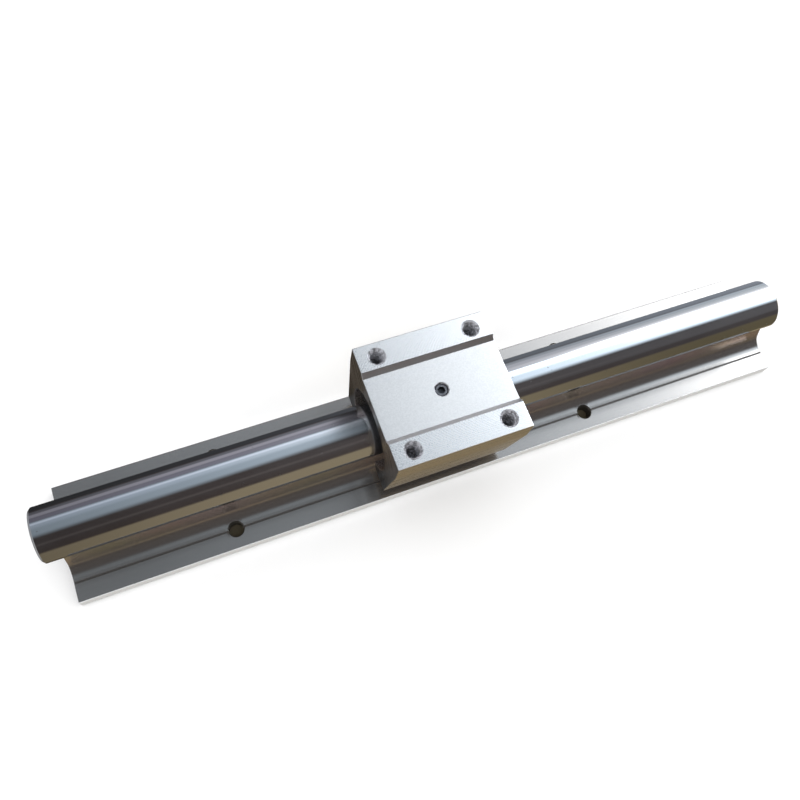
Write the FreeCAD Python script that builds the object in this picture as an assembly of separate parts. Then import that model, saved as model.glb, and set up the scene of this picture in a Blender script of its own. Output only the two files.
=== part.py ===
import FreeCAD, Part
import math
import os

# Supported round rail with an open bearing block, in millimetres.
# X runs along the rail, Z is up, and the origin is the middle of the base's mounting face.

# Shaft
rail_length = 300.0
shaft_diameter = 20.0
shaft_centre_height = 27.0
shaft_overhang = 4.0
shaft_end_chamfer = 0.8

# Support base, an extrusion that carries the shaft along its whole length
base_width = 45.0
flange_thickness = 5.0
flange_edge_round = 0.4
web_foot_width = 19.0
web_head_width = 9.0
web_foot_fillet = 5.0
marking_groove_width = 0.8
marking_groove_depth = 0.4
cradle_clearance = 0.02

# Mounting holes of the base, in two rows
mount_row_spacing = 30.0
mount_pitch = 150.0
mount_first_from_left = 60.0
mount_hole_diameter = 5.5
mount_hole_chamfer = 0.4

# Socket screws that pull the shaft into the base from below
shaft_screw_diameter = 6.0
shaft_screw_length = 20.0
shaft_screw_head_diameter = 10.0
shaft_screw_head_height = 6.0
shaft_screw_socket_width = 5.0
shaft_screw_socket_depth = 3.0
shaft_screw_head_recess = 1.0
shaft_screw_hole_play = 0.3
counterbore_play = 0.5
tapped_hole_spare_depth = 2.0
thread_clearance = 0.05

# Bearing block, an extrusion with a bore that is open towards the base
block_length = 52.0
block_width = 48.0
block_foot_width = 41.0
block_height = 39.0
block_top_above_shaft = 23.0
block_side_height = 10.0
block_corner_round = 0.3
block_middle_from_left_end = 143.0
land_width = 10.0
recess_depth = 2.0
recess_step_run = 1.9
block_lip_setback = 0.6

# Tapped holes in the block's two lands
tap_spacing_along = 37.0
tap_spacing_across = 37.0
tap_drill_diameter = 5.0
tap_depth = 12.0
tap_mouth_diameter = 7.0
drill_point_angle = 118.0

# Open ball bushing
bushing_length = 42.0
sleeve_wall = 2.0
ball_diameter = 3.97
ball_clearance = 0.03
bushing_fit_clearance = 0.02
web_clearance = 1.0
ring_groove_spacing = 30.5
ring_groove_width = 1.6
ring_groove_depth = 0.75

# Ball cage with its straight ball slots
cage_clearance = 0.1
cage_shaft_clearance = 0.35
cage_slot_count = 5
cage_slot_length = 26.0
cage_slot_play = 0.15

# End seals
seal_thickness = 2.5
seal_lip_clearance = 0.05
seal_lip_width = 0.8
seal_body_clearance = 0.6

# Set screw that locks the bushing in the block
clamp_screw_diameter = 5.0
clamp_screw_length = 5.0
clamp_screw_socket_width = 2.5
clamp_screw_socket_depth = 2.4
clamp_screw_point_chamfer = 0.8
clamp_seat_depth = 0.8
clamp_seat_play = 0.1
clamp_mouth_chamfer = 0.3

# Places that follow from the sizes above
shaft_radius = shaft_diameter / 2
left_end = -rail_length / 2
mount_columns = (left_end + mount_first_from_left, left_end + mount_first_from_left + mount_pitch)
cradle_radius = shaft_radius + cradle_clearance
web_head_height = shaft_centre_height - math.sqrt(cradle_radius**2 - (web_head_width / 2)**2)
sleeve_inner_radius = shaft_radius + ball_diameter + ball_clearance
sleeve_outer_radius = sleeve_inner_radius + sleeve_wall
block_bore_radius = sleeve_outer_radius + bushing_fit_clearance
block_middle = left_end + block_middle_from_left_end
block_top = shaft_centre_height + block_top_above_shaft
block_bottom = block_top - block_height
recess_floor = block_top - recess_depth
bushing_opening_half_angle = math.asin((web_head_width / 2 + web_clearance) / shaft_radius)
block_opening_half_angle = bushing_opening_half_angle + block_lip_setback / block_bore_radius

along_rail = FreeCAD.Vector(1, 0, 0)
upward = FreeCAD.Vector(0, 0, 1)


def rounded_outline(corners, x):
    """A closed outline across the rail at x, from corners given as (y, z, radius)."""
    edges = []
    ends = []
    for index, (y, z, radius) in enumerate(corners):
        corner = FreeCAD.Vector(x, y, z)
        before = FreeCAD.Vector(x, *corners[index - 1][:2]) - corner
        after = FreeCAD.Vector(x, *corners[(index + 1) % len(corners)][:2]) - corner
        before.normalize()
        after.normalize()
        if radius == 0:
            ends.append((corner, corner))
            continue
        half_angle = before.getAngle(after) / 2
        tangent = radius / math.tan(half_angle)
        inward = before + after
        inward.normalize()
        middle = corner + inward * (radius / math.sin(half_angle) - radius)
        start = corner + before * tangent
        end = corner + after * tangent
        edges.append(Part.Arc(start, middle, end).toShape())
        ends.append((start, end))
    for index in range(len(corners)):
        edges.append(Part.makeLine(ends[index - 1][1], ends[index][0]))
    return Part.Wire(Part.__sortEdges__(edges))


def extrusion(corners, x, length):
    """A bar of constant section along the rail."""
    return Part.Face(rounded_outline(corners, x)).extrude(along_rail * length)


def mirrored(corners):
    """The corners of a half section on +Y, followed by the same corners on -Y."""
    return corners + [(-y, z, radius) for y, z, radius in reversed(corners)]


def round_bar(radius, x, length):
    """A cylinder on the shaft's axis."""
    return Part.makeCylinder(radius, length, FreeCAD.Vector(x, 0, shaft_centre_height), along_rail)


def opening_wedge(half_angle, reach, x, length):
    """The sector below the shaft's axis that is left free for the base's web."""
    axis = FreeCAD.Vector(x, 0, shaft_centre_height)
    side = reach * math.tan(half_angle)
    left = FreeCAD.Vector(x, -side, shaft_centre_height - reach)
    right = FreeCAD.Vector(x, side, shaft_centre_height - reach)
    return Part.Face(Part.makePolygon([axis, left, right, axis])).extrude(along_rail * length)


def open_ring(inner_radius, outer_radius, x, length):
    """A ring round the shaft with the bushing's opening cut through its lower side."""
    ring = round_bar(outer_radius, x, length).cut(round_bar(inner_radius, x, length))
    return ring.cut(opening_wedge(bushing_opening_half_angle, 2 * outer_radius, x, length))


def hexagon_socket(x, y, z, width, depth):
    """A hexagonal prism whose open end lies at z and that reaches upwards from there by depth."""
    corner_radius = width / math.sqrt(3)
    corners = []
    for side in range(7):
        turn = math.radians(60 * side)
        across = corner_radius * math.sin(turn)
        corners.append(FreeCAD.Vector(x + corner_radius * math.cos(turn), y + across, z))
    return Part.Face(Part.makePolygon(corners)).extrude(upward * depth)


def make_shaft():
    """The ground shaft, with chamfered ends and tapped holes on its underside."""
    start = left_end - shaft_overhang
    shaft = round_bar(shaft_radius, start, rail_length)
    end_edges = [edge for edge in shaft.Edges if edge.Closed]
    shaft = shaft.makeChamfer(shaft_end_chamfer, end_edges)
    hole_radius = shaft_screw_diameter / 2 + thread_clearance
    tip = shaft_screw_seat() + shaft_screw_length
    depth = tip + tapped_hole_spare_depth - (shaft_centre_height - shaft_radius)
    for x in mount_columns:
        foot = FreeCAD.Vector(x, 0, shaft_centre_height - shaft_radius - depth)
        hole = Part.makeCylinder(hole_radius, 2 * depth, foot, upward)
        shaft = shaft.cut(hole)
    return shaft


def shaft_screw_seat():
    """The height of the face in the base that the screw's head bears on."""
    return shaft_screw_head_recess + shaft_screw_head_height


def make_support_base():
    """The base: two flanges, a tapered web and the cradle that the shaft lies in."""
    half_groove = marking_groove_width / 2
    row = mount_row_spacing / 2
    section = mirrored([
        (base_width / 2, 0, flange_edge_round),
        (base_width / 2, flange_thickness, flange_edge_round),
        (row + half_groove, flange_thickness, 0),
        (row, flange_thickness - marking_groove_depth, 0),
        (row - half_groove, flange_thickness, 0),
        (web_foot_width / 2, flange_thickness, 0),
        (web_head_width / 2, web_head_height, 0),
    ])
    base = extrusion(section, left_end, rail_length)
    base = base.cut(round_bar(cradle_radius, left_end, rail_length))
    base = fillet_web_foot(base)
    for x in mount_columns:
        for y in (-row, row):
            base = base.cut(mounting_hole(x, y))
        base = base.cut(shaft_screw_hole(x))
    return base


def fillet_web_foot(base):
    """Rounds the two inner corners where the web stands on the flanges."""
    foot_edges = []
    for edge in base.Edges:
        middle = edge.CenterOfMass
        on_foot = abs(abs(middle.y) - web_foot_width / 2) < 0.01
        if on_foot and abs(middle.z - flange_thickness) < 0.01:
            foot_edges.append(edge)
    return base.makeFillet(web_foot_fillet, foot_edges)


def mounting_hole(x, y):
    """A through hole in a flange, with a chamfered upper rim."""
    radius = mount_hole_diameter / 2
    hole = Part.makeCylinder(radius, flange_thickness, FreeCAD.Vector(x, y, 0))
    rim_foot = FreeCAD.Vector(x, y, flange_thickness - mount_hole_chamfer)
    rim = Part.makeCone(radius, radius + mount_hole_chamfer, mount_hole_chamfer, rim_foot)
    return hole.fuse(rim)


def shaft_screw_hole(x):
    """A stepped hole through the web: the head's counterbore, then the shank's hole."""
    counterbore_radius = shaft_screw_head_diameter / 2 + counterbore_play
    shank_radius = shaft_screw_diameter / 2 + shaft_screw_hole_play
    counterbore = Part.makeCylinder(counterbore_radius, shaft_screw_seat(), FreeCAD.Vector(x, 0, 0))
    shank = Part.makeCylinder(shank_radius, shaft_centre_height, FreeCAD.Vector(x, 0, 0))
    return counterbore.fuse(shank)


def make_shaft_screw(x):
    """A socket head screw, head down, drawn without its thread."""
    head_bottom = shaft_screw_head_recess
    head_radius = shaft_screw_head_diameter / 2
    head = Part.makeCylinder(head_radius, shaft_screw_head_height, FreeCAD.Vector(x, 0, head_bottom))
    shank_foot = FreeCAD.Vector(x, 0, shaft_screw_seat())
    shank = Part.makeCylinder(shaft_screw_diameter / 2, shaft_screw_length, shank_foot)
    socket = hexagon_socket(x, 0, head_bottom, shaft_screw_socket_width, shaft_screw_socket_depth)
    return head.fuse(shank).removeSplitter().cut(socket)


def make_bearing_block():
    """The block: sloping flanks, two machined lands, the open bore and its tapped holes."""
    half_width = block_width / 2
    recess_edge = half_width - land_width
    shoulder = block_top - block_side_height
    section = mirrored([
        (block_foot_width / 2, block_bottom, block_corner_round),
        (half_width, shoulder, block_corner_round),
        (half_width, block_top, block_corner_round),
        (recess_edge, block_top, 0),
        (recess_edge - recess_step_run, recess_floor, 0),
    ])
    start = block_middle - block_length / 2
    block = extrusion(section, start, block_length)
    block = block.cut(round_bar(block_bore_radius, start, block_length))
    block = block.cut(opening_wedge(block_opening_half_angle, 2 * block_bore_radius, start, block_length))
    for x in (block_middle - tap_spacing_along / 2, block_middle + tap_spacing_along / 2):
        for y in (-tap_spacing_across / 2, tap_spacing_across / 2):
            block = block.cut(tapped_hole(x, y))
    return block.cut(clamp_screw_hole())


def tapped_hole(x, y):
    """A blind tapped hole from the top: countersunk mouth, wall at drill size, drill point."""
    radius = tap_drill_diameter / 2
    mouth_radius = tap_mouth_diameter / 2
    mouth_depth = mouth_radius - radius
    point_depth = radius / math.tan(math.radians(drill_point_angle / 2))
    wall_foot = FreeCAD.Vector(x, y, block_top - tap_depth)
    wall = Part.makeCylinder(radius, tap_depth, wall_foot)
    mouth = Part.makeCone(radius, mouth_radius, mouth_depth, FreeCAD.Vector(x, y, block_top - mouth_depth))
    point = Part.makeCone(0, radius, point_depth, wall_foot - upward * point_depth)
    return wall.fuse(mouth).fuse(point)


def clamp_screw_hole():
    """The tapped hole for the set screw, from the recess down into the bore."""
    radius = clamp_screw_diameter / 2 + thread_clearance
    depth = recess_floor - shaft_centre_height
    hole = Part.makeCylinder(radius, depth, FreeCAD.Vector(block_middle, 0, shaft_centre_height))
    rim_foot = FreeCAD.Vector(block_middle, 0, recess_floor - clamp_mouth_chamfer)
    rim = Part.makeCone(radius, radius + clamp_mouth_chamfer, clamp_mouth_chamfer, rim_foot)
    return hole.fuse(rim)


def make_bushing_sleeve():
    """The bushing's hard sleeve, with two ring grooves and the set screw's seat."""
    start = block_middle - bushing_length / 2
    sleeve = open_ring(sleeve_inner_radius, sleeve_outer_radius, start, bushing_length)
    for side in (-1, 1):
        middle = block_middle + side * (ring_groove_spacing - ring_groove_width) / 2
        groove_start = middle - ring_groove_width / 2
        outer = round_bar(2 * sleeve_outer_radius, groove_start, ring_groove_width)
        inner = round_bar(sleeve_outer_radius - ring_groove_depth, groove_start, ring_groove_width)
        sleeve = sleeve.cut(outer.cut(inner))
    seat_radius = clamp_screw_diameter / 2 + clamp_seat_play
    seat_floor = shaft_centre_height + sleeve_outer_radius - clamp_seat_depth
    seat = Part.makeCylinder(seat_radius, 2 * clamp_seat_depth, FreeCAD.Vector(block_middle, 0, seat_floor))
    return sleeve.cut(seat)


def make_ball_cage():
    """The cage between sleeve and shaft, with a straight slot for each row of balls."""
    length = bushing_length - 2 * seal_thickness
    start = block_middle - length / 2
    inner_radius = shaft_radius + cage_shaft_clearance
    cage = open_ring(inner_radius, sleeve_inner_radius - cage_clearance, start, length)
    for angle in ball_row_angles():
        cage = cage.cut(ball_slot(angle))
    return cage


def ball_row_angles():
    """The directions of the ball rows round the shaft, in degrees from straight up."""
    free_turn = 360 - 2 * math.degrees(bushing_opening_half_angle)
    step = free_turn / cage_slot_count
    return [step * (row - (cage_slot_count - 1) / 2) for row in range(cage_slot_count)]


def ball_slot(angle):
    """A round-ended slot through the cage's wall, as wide as a ball with its play."""
    half_width = ball_diameter / 2 + cage_slot_play
    straight = cage_slot_length / 2 - half_width
    slot = Part.makeBox(2 * straight, 2 * half_width, sleeve_outer_radius,
                        FreeCAD.Vector(block_middle - straight, -half_width, shaft_centre_height))
    for x in (block_middle - straight, block_middle + straight):
        slot = slot.fuse(Part.makeCylinder(half_width, sleeve_outer_radius,
                                           FreeCAD.Vector(x, 0, shaft_centre_height)))
    slot.rotate(FreeCAD.Vector(block_middle, 0, shaft_centre_height), along_rail, angle)
    return slot


def make_end_seal(side):
    """A rubber seal in one end of the sleeve, with a thin lip that wipes the shaft."""
    outer_end = block_middle + side * bushing_length / 2
    start = min(outer_end, outer_end - side * seal_thickness)
    outer_radius = sleeve_inner_radius - cage_clearance
    body = open_ring(shaft_radius + seal_body_clearance, outer_radius, start, seal_thickness)
    lip_start = min(outer_end, outer_end - side * seal_lip_width)
    lip = open_ring(shaft_radius + seal_lip_clearance, outer_radius, lip_start, seal_lip_width)
    return body.fuse(lip).removeSplitter()


def make_clamp_screw():
    """The set screw in the middle of the recess, with its socket up and its point in the sleeve."""
    radius = clamp_screw_diameter / 2
    foot = shaft_centre_height + sleeve_outer_radius - clamp_seat_depth
    head = foot + clamp_screw_length
    point_radius = radius - clamp_screw_point_chamfer
    point_foot = FreeCAD.Vector(block_middle, 0, foot)
    point = Part.makeCone(point_radius, radius, clamp_screw_point_chamfer, point_foot)
    body_foot = FreeCAD.Vector(block_middle, 0, foot + clamp_screw_point_chamfer)
    body = Part.makeCylinder(radius, clamp_screw_length - clamp_screw_point_chamfer, body_foot)
    socket = hexagon_socket(block_middle, 0, head - clamp_screw_socket_depth,
                            clamp_screw_socket_width, clamp_screw_socket_depth)
    return point.fuse(body).cut(socket)


def build():
    """Every piece by the name of its node."""
    pieces = {
        "shaft": make_shaft(),
        "support_base": make_support_base(),
        "bearing_block": make_bearing_block(),
        "bushing_sleeve": make_bushing_sleeve(),
        "ball_cage": make_ball_cage(),
        "clamp_screw": make_clamp_screw(),
    }
    for number, x in enumerate(mount_columns, start=1):
        pieces[f"shaft_screw_{number}"] = make_shaft_screw(x)
    for number, side in enumerate((-1, 1), start=1):
        pieces[f"end_seal_{number}"] = make_end_seal(side)
    return pieces


os.makedirs("parts", exist_ok=True)
for name, shape in build().items():
    shape.exportStep(os.path.join("parts", name + ".step"))
    print(name, len(shape.Solids), round(shape.Volume, 2), shape.isValid())
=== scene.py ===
import logging
import math
from dataclasses import dataclass, field
from enum import Enum, IntEnum
from typing import Any, Sequence

import bmesh
import bpy
import numpy as np
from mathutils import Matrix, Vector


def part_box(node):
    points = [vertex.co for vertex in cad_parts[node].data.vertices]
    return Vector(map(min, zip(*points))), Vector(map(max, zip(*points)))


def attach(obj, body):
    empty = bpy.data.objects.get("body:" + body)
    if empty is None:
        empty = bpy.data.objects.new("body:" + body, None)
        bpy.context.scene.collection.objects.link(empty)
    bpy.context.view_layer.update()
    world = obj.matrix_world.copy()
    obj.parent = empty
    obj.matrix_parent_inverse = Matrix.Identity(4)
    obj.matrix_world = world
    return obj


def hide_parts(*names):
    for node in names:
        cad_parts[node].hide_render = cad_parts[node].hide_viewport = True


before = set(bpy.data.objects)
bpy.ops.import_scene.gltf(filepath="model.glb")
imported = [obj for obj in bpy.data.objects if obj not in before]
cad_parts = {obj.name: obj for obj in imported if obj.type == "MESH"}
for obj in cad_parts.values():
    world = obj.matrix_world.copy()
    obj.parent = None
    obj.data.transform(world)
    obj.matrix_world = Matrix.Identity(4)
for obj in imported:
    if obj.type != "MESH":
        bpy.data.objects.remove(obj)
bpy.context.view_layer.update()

LOG = logging.getLogger("supported_rail")
MM = 0.001
FULL_TURN = 2 * math.pi
WELD = 0.001  # millimetres between points that become one
SLACK = 0.0001  # millimetres by which a point may miss a window
THREAD_ROWS = 6  # rows of points in one turn of a thread
NOISE_SPAN = (0.3, 0.7)  # where most values of a noise lie
SHAFT_SCREWS = ("shaft_screw_1", "shaft_screw_2")
Colour = tuple[float, float, float]
Pair = tuple[float, float]


# Outlines and surfaces, in millimetres

def unit(vectors: np.ndarray) -> np.ndarray:
    """Rows of vectors scaled to length one; a row of zeros stays zero."""
    return vectors / np.maximum(np.linalg.norm(vectors, axis=-1, keepdims=True), 1e-12)


def node_box(node: str) -> np.ndarray:
    """Lowest and highest corner of a CAD node, in millimetres."""
    return np.array([list(corner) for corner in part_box(node)]) / MM


def box_of(node: str) -> Any:
    """A dataclass field that holds a CAD node's box."""
    return field(default_factory=lambda: node_box(node))


def screw_columns() -> list[float]:
    """The shaft screws' places along the rail, in millimetres."""
    return [node_box(node)[:, 0].mean() for node in SHAFT_SCREWS]


def put(name: str, data: bpy.types.ID) -> bpy.types.Object:
    """A new object in the scene, at the origin."""
    made = bpy.data.objects.new(name, data)
    bpy.context.scene.collection.objects.link(made)
    return made


def arc(centre: Sequence[float], radius: float, start: float, end: float, pieces: int,
        label: int) -> np.ndarray:
    """Outline rows on a circle: y is radius times the angle's sine, z is minus radius times its cosine."""
    angle = np.linspace(start, end, pieces + 1)[:, None]
    points = np.array(centre) + radius * np.hstack([np.sin(angle), -np.cos(angle)])
    return np.hstack([points, np.zeros_like(angle), np.full_like(angle, label)])


def mirrored(half: np.ndarray) -> np.ndarray:
    """Outline rows on +Y, then the same rows on -Y in the opposite order, each side with its own finish."""
    other = half[::-1] * (-1, 1, 1, 1)
    other[:, 3] = np.roll(half[:, 3], 1)[::-1]
    return np.vstack([half, other])


def rounded(rows: np.ndarray, steps: int = 6) -> tuple[np.ndarray, np.ndarray]:
    """A closed outline whose corners are arcs.

    Around its centre a corner's arc is sin((1-t)w) times its start plus sin(tw) times its end, over sin(w),
    where w is the arc's turn and t runs from 0 to 1. A corner of radius 0 stays one point.

    Args:
        rows: y, z, radius and the finish of the side that follows, for each corner.
        steps: pieces in each arc.

    Returns:
        The outline's points (y, z), and the finish of the side after each point.
    """
    place, radius = rows[:, :2], rows[:, 2:3]
    before = unit(np.roll(place, 1, axis=0) - place)
    after = unit(np.roll(place, -1, axis=0) - place)
    half = np.arccos(np.clip((before * after).sum(axis=1, keepdims=True), -1, 1)) / 2
    tangent = radius / np.tan(half)
    centre = place + unit(before + after) * radius / np.sin(half)
    start, end = place + before * tangent - centre, place + after * tangent - centre
    turn = (math.pi - 2 * half)[:, None, :]
    share = np.linspace(0, 1, steps + 1)[None, :, None]
    blend = np.sin((1 - share) * turn) * start[:, None] + np.sin(share * turn) * end[:, None]
    points = (centre[:, None] + blend / np.maximum(np.sin(turn), 1e-9)).reshape(-1, 2)
    finishes = np.repeat(rows[:, 3], steps + 1).astype(int)
    fresh = np.linalg.norm(points - np.roll(points, -1, axis=0), axis=1) > 1e-6
    return points[fresh], finishes[fresh]


def inset(outline: np.ndarray, amount: float) -> np.ndarray:
    """A closed outline moved inwards by an amount, along the bisector of its two sides at each point."""
    side = unit(np.roll(outline, -1, axis=0) - outline)
    normal = np.stack([side[:, 1], -side[:, 0]], axis=1)
    y, z = outline.T
    area = (y * np.roll(z, -1) - np.roll(y, -1) * z).sum()
    bisector = unit(normal + np.roll(normal, 1, axis=0))
    spread = np.maximum((bisector * normal).sum(axis=1, keepdims=True), 0.5)
    return outline - math.copysign(1, area) * amount * bisector / spread


def round_angles(count: int) -> np.ndarray:
    """One row of even angles round a full turn, its first angle repeated at the end."""
    return np.linspace(0, FULL_TURN, count + 1)[None, :]


def thread_wave(angle: np.ndarray, height: np.ndarray, pitch: float) -> np.ndarray:
    """A triangle wave from 0 to 1 that climbs by one pitch in a turn: |2 frac(height/pitch - turns) - 1|."""
    return np.abs(2 * ((height / pitch - angle / FULL_TURN) % 1) - 1)


def hexagon_radius(angle: np.ndarray, width: float) -> np.ndarray:
    """A hexagon's radius: half its width over the cosine of the angle from the nearest side's middle."""
    return width / 2 / np.cos((angle + math.pi / 6) % (math.pi / 3) - math.pi / 6)


@dataclass
class Skin:
    """Patches of points and faces that are welded into one closed mesh."""

    points: list[np.ndarray] = field(default_factory=list)
    faces: list[list[int]] = field(default_factory=list)
    labels: list[int] = field(default_factory=list)
    count: int = 0

    def add_points(self, points: np.ndarray) -> int:
        """Adds rows of points and returns the number of the first."""
        first = self.count
        self.points.append(points.reshape(-1, 3))
        self.count += len(self.points[-1])
        return first

    def add_grid(self, grid: np.ndarray, label: Any, keep: np.ndarray | None = None) -> None:
        """Adds the quads of a grid of points.

        Args:
            grid: points, rows by columns by 3.
            label: finish of the faces, one number or an array that fits the quads.
            keep: quads to add, or None for all.
        """
        rows, columns = grid.shape[:2]
        index = self.add_points(grid) + np.arange(rows * columns).reshape(rows, columns)
        quads = np.stack([index[:-1, :-1], index[1:, :-1], index[1:, 1:], index[:-1, 1:]], axis=-1)
        chosen = np.ones(quads.shape[:2], bool) if keep is None else keep
        self.faces += quads[chosen].tolist()
        self.labels += np.broadcast_to(label, quads.shape[:2])[chosen].astype(int).tolist()

    def add_polygon(self, ring: np.ndarray, label: int) -> None:
        """Adds one flat face from its ring of points."""
        first = self.add_points(ring)
        self.faces.append(list(range(first, first + len(ring))))
        self.labels.append(label)

    def add_turned(self, x: float, y: float, angle: np.ndarray, radius: np.ndarray, height: np.ndarray,
                   label: Any) -> None:
        """Adds a surface round an upright axis: x + r cos a, y + r sin a, z, with r and z over the angle."""
        radius, height, angle = np.broadcast_arrays(radius, height, angle)
        grid = np.stack([x + radius * np.cos(angle), y + radius * np.sin(angle), height], axis=2)
        self.add_grid(grid, label)

    def add_stitch(self, outer: np.ndarray, inner: np.ndarray, x: float, y: float, label: int) -> None:
        """Joins two rings of different counts with triangles, in the order of their angles round (x, y).

        Each point makes one triangle, with the point before it on its own ring and the last one passed on the
        other ring. An outer point counts as passed from halfway between its angle and the one before.
        """
        rings, turns = [], []
        for ring in (outer, inner):
            turn = np.arctan2(ring[:, 1] - y, ring[:, 0] - x)
            rings.append(ring[turn.argsort()])
            turns.append(np.sort(turn))
        turns[0] -= np.diff(turns[0], prepend=turns[0][-1] - FULL_TURN) / 2
        counts = [len(ring) for ring in rings]
        on_inner = np.repeat([0, 1], counts)[np.concatenate(turns).argsort(kind="stable")]
        last = [(np.cumsum(on_inner == side) - 1) % counts[side] for side in (0, 1)]
        first = self.add_points(np.vstack(rings))
        own = np.where(on_inner, counts[0] + last[1], last[0])
        earlier = np.where(on_inner, counts[0] + (last[1] - 1) % counts[1], (last[0] - 1) % counts[0])
        other = np.where(on_inner, last[0], counts[0] + last[1])
        triangles = first + np.stack([earlier, own, other], axis=1)
        self.faces += triangles.tolist()
        self.labels += [label] * len(triangles)

    def to_piece(self, name: str, finishes: Sequence[bpy.types.Material], body: str, slot: str,
                 nodes: Sequence[str] = (), sharp_deg: float = 35) -> bpy.types.Object:
        """The welded mesh as a piece at the origin that rides on a body.

        Args:
            name: the piece's name.
            finishes: materials, in the order of the faces' labels.
            body: the CAD body that it moves with.
            slot: the record's material slot; not used.
            nodes: the CAD nodes that it stands for.
            sharp_deg: edges that turn more than this are shaded sharp.

        Returns:
            The new object.
        """
        mesh = bpy.data.meshes.new(name)
        mesh.from_pydata((np.vstack(self.points) * MM).tolist(), [], self.faces)
        mesh.polygons.foreach_set("material_index", np.array(self.labels, np.int32))
        mesh.polygons.foreach_set("use_smooth", np.ones(len(self.labels), bool))
        work = bmesh.new()
        work.from_mesh(mesh)
        bmesh.ops.remove_doubles(work, verts=work.verts, dist=WELD * MM)
        bmesh.ops.recalc_face_normals(work, faces=work.faces)
        open_edges = sum(not edge.is_manifold for edge in work.edges)
        work.to_mesh(mesh)
        work.free()
        mesh.set_sharp_from_angle(angle=math.radians(sharp_deg))
        for finish in finishes:
            mesh.materials.append(finish)
        piece = put(name, mesh)
        normals = piece.modifiers.new("flat_face_normals", "WEIGHTED_NORMAL")
        normals.keep_sharp = True
        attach(piece, body)
        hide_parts(*nodes)
        LOG.info("%s: %d faces, %d open edges", name, len(mesh.polygons), open_edges)
        return piece


@dataclass(frozen=True)
class Window:
    """A stretch of a bar's outline, between two values of y and two of z, and its half length in x."""

    y_low: float
    y_high: float
    z_low: float
    z_high: float
    reach: float


@dataclass(frozen=True)
class Hole:
    """An upright round hole, as rings from its mouth to its end. An open end has a window too."""

    x: float
    y: float
    angle: np.ndarray
    radius: np.ndarray
    height: np.ndarray
    label: int
    mouth: Window
    exit: Window | None = None


@dataclass
class Bar:
    """A closed outline carried along the rail, with rounded end edges and upright holes."""

    rows: np.ndarray
    start: float
    end: float
    edge: float
    end_label: int
    round_steps: int = 3
    end_chamfer: bool = False

    def stations(self, holes: Sequence[Hole]) -> tuple[np.ndarray, np.ndarray]:
        """Places along the bar and the outline's inset at each.

        At an end, x and inset run together on a quarter circle, or on a straight chamfer.
        """
        bend = np.linspace(0, math.pi / 2, self.round_steps + 1)
        out, deep = self.edge * (1 - np.cos(bend)), self.edge * (1 - np.sin(bend))
        if self.end_chamfer:
            out, deep = np.array([0, self.edge]), np.array([self.edge, 0])
        windows = [(hole.x, window.reach) for hole in holes for window in (hole.mouth, hole.exit) if window]
        stops = np.unique(np.round([x + side * reach for x, reach in windows for side in (-1, 1)], 6))
        x = np.concatenate([self.start + out, stops, (self.end - out)[::-1]])
        return x, np.concatenate([deep, np.zeros(len(stops)), deep[::-1]])

    def build(self, holes: Sequence[Hole] = ()) -> Skin:
        """The whole bar: its sides with windows left for the holes, its two ends, and the holes.

        A point is (x of its station, y and z of the outline moved in by the station's inset).
        """
        outline, labels = rounded(self.rows)
        x, deep = self.stations(holes)
        loops = np.stack([inset(outline, amount) for amount in deep])
        loops = np.concatenate([loops, loops[:, :1]], axis=1)
        along = np.broadcast_to(x[:, None, None], loops.shape[:2] + (1,))
        grid = np.concatenate([along, loops], axis=2)
        keep = np.ones((grid.shape[0] - 1, grid.shape[1] - 1), bool)
        skin = Skin()
        for hole in holes:
            self.add_hole(skin, grid, labels, keep, hole)
        skin.add_grid(grid, labels[None, :], keep)
        for end in (0, -1):
            skin.add_polygon(grid[end, :-1], self.end_label)
        return skin

    def add_hole(self, skin: Skin, grid: np.ndarray, labels: np.ndarray, keep: np.ndarray,
                 hole: Hole) -> None:
        """Opens a hole's windows, joins their borders to its first and last ring, and adds its wall.

        A ring that meets a window takes its height from the outline, read off at the ring's own y.
        """
        parts = np.broadcast_arrays(hole.radius, hole.height, hole.angle)
        radius, height, angle = (part.copy() for part in parts)
        for window, ring in ((hole.mouth, 0), (hole.exit, -1)):
            if window is None:
                continue
            rows = [int(np.abs(grid[:, 0, 0] - hole.x - side * window.reach).argmin()) for side in (-1, 1)]
            y, z = grid[rows[0], :-1, 1], grid[rows[0], :-1, 2]
            inside = (y > window.y_low - SLACK) & (y < window.y_high + SLACK)
            inside &= (z > window.z_low - SLACK) & (z < window.z_high + SLACK)
            c, d = np.flatnonzero(inside)[[0, -1]]
            a, b = rows
            keep[a:b, c:d] = False
            border = np.vstack([grid[a:b, c], grid[b, c:d], grid[b:a:-1, d], grid[a, d:c:-1]])
            stretch = grid[a, c:d + 1, 1:]
            stretch = stretch[stretch[:, 0].argsort()]
            ring_y = hole.y + radius[ring] * np.sin(angle[ring])
            height[ring] = np.interp(ring_y, stretch[:, 0], stretch[:, 1])
            rim = np.stack([hole.x + radius[ring] * np.cos(angle[ring]), ring_y, height[ring]], axis=1)
            skin.add_stitch(border, rim[:-1], hole.x, hole.y, int(labels[c]))
        skin.add_turned(hole.x, hole.y, angle, radius, height, hole.label)


# Shader maths

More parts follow.
